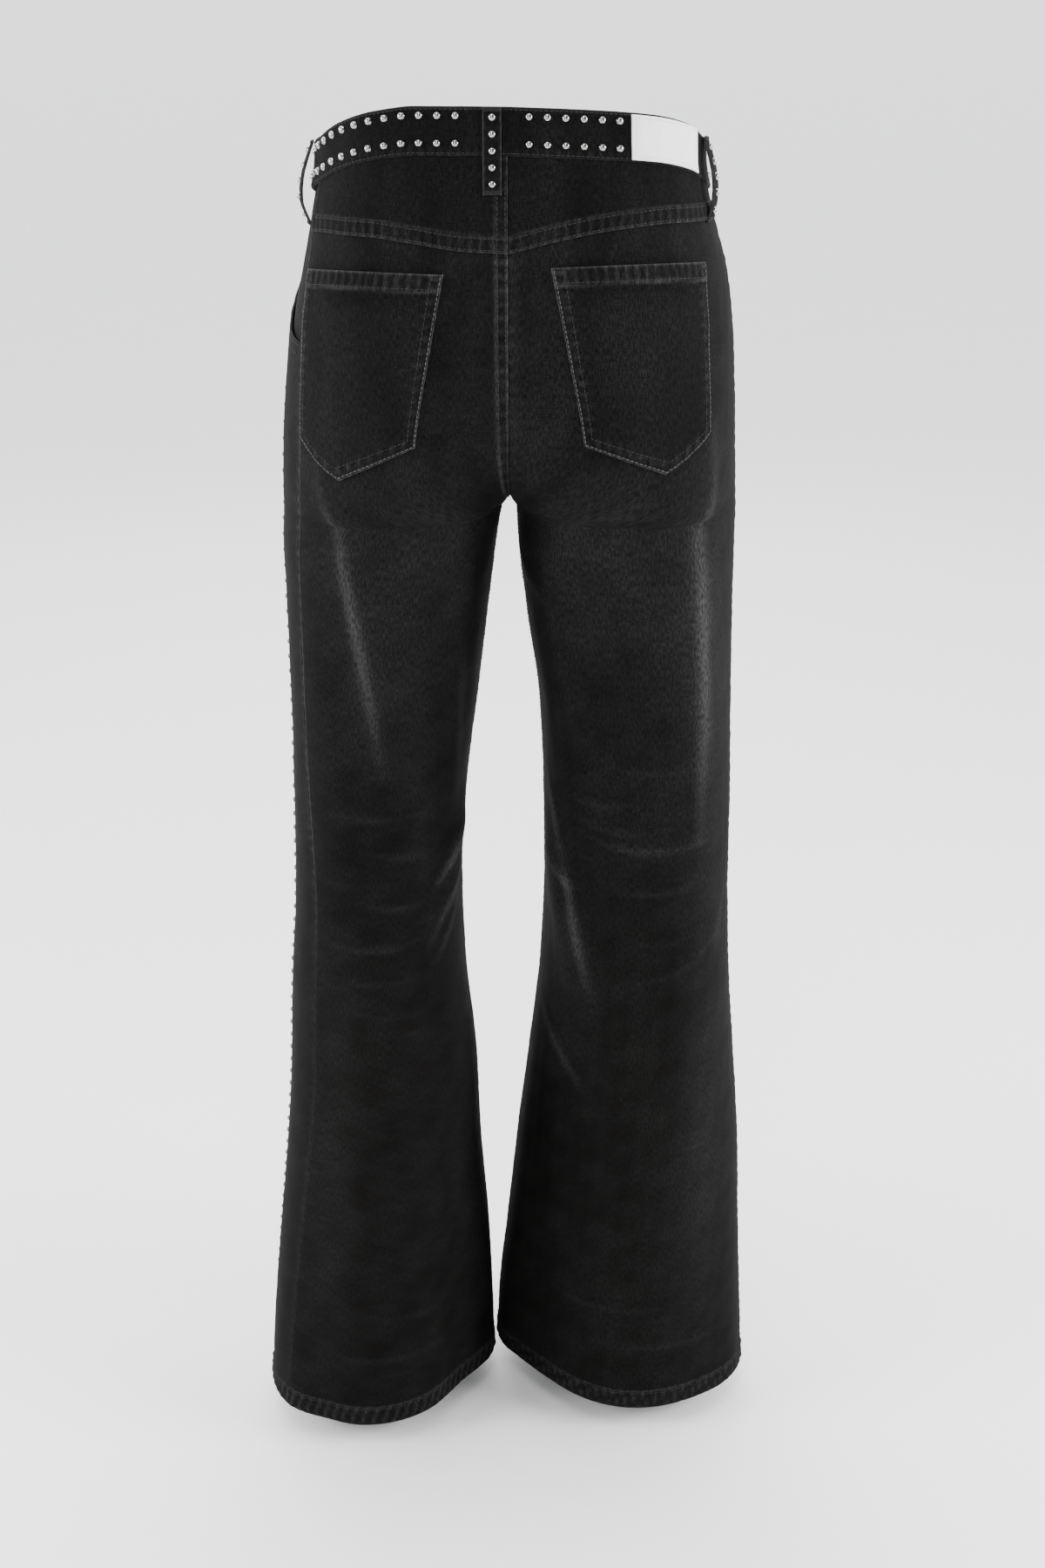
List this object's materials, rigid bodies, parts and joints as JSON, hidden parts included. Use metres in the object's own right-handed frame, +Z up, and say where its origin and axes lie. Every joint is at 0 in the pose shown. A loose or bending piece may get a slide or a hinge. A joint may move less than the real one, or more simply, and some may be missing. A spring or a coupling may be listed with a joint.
{
  "type": "wide-leg jeans",
  "caption": "Wide-leg jeans in worn, standing form: hollow waist and legs, studded waistband and belt loops, back pockets, yokes and a plain leather patch.",
  "frame": {"origin": "centre of the waist opening, level with the waistband's top edge at the side seams, where a wearer holds the jeans up", "axes": "+Z up from the hems to the waist, -Y the front of the jeans, +Y the back, +X the wearer's left"},
  "size_m": [0.4224, 0.2373, 1.0756],
  "materials": {
    "denim": "washed black denim, matt",
    "patch_leather": "smooth white leather, satin",
    "button_metal": "satin nickel"
  },
  "bodies": {
    "root": {"front_left": "denim", "front_right": "denim", "back_left": "denim", "back_right": "denim", "yoke_left": "denim", "yoke_right": "denim", "pocket_back_left": "denim", "pocket_back_right": "denim", "pocket_facing_left": "denim", "pocket_facing_right": "denim", "fly_shield": "denim", "waistband": "denim", "belt_loop_back": "denim", "belt_loop_side_left": "denim", "belt_loop_side_right": "denim", "belt_loop_front_left": "denim", "belt_loop_front_right": "denim", "waist_patch": "patch_leather", "waist_button": "button_metal"}
  },
  "joints": []
}
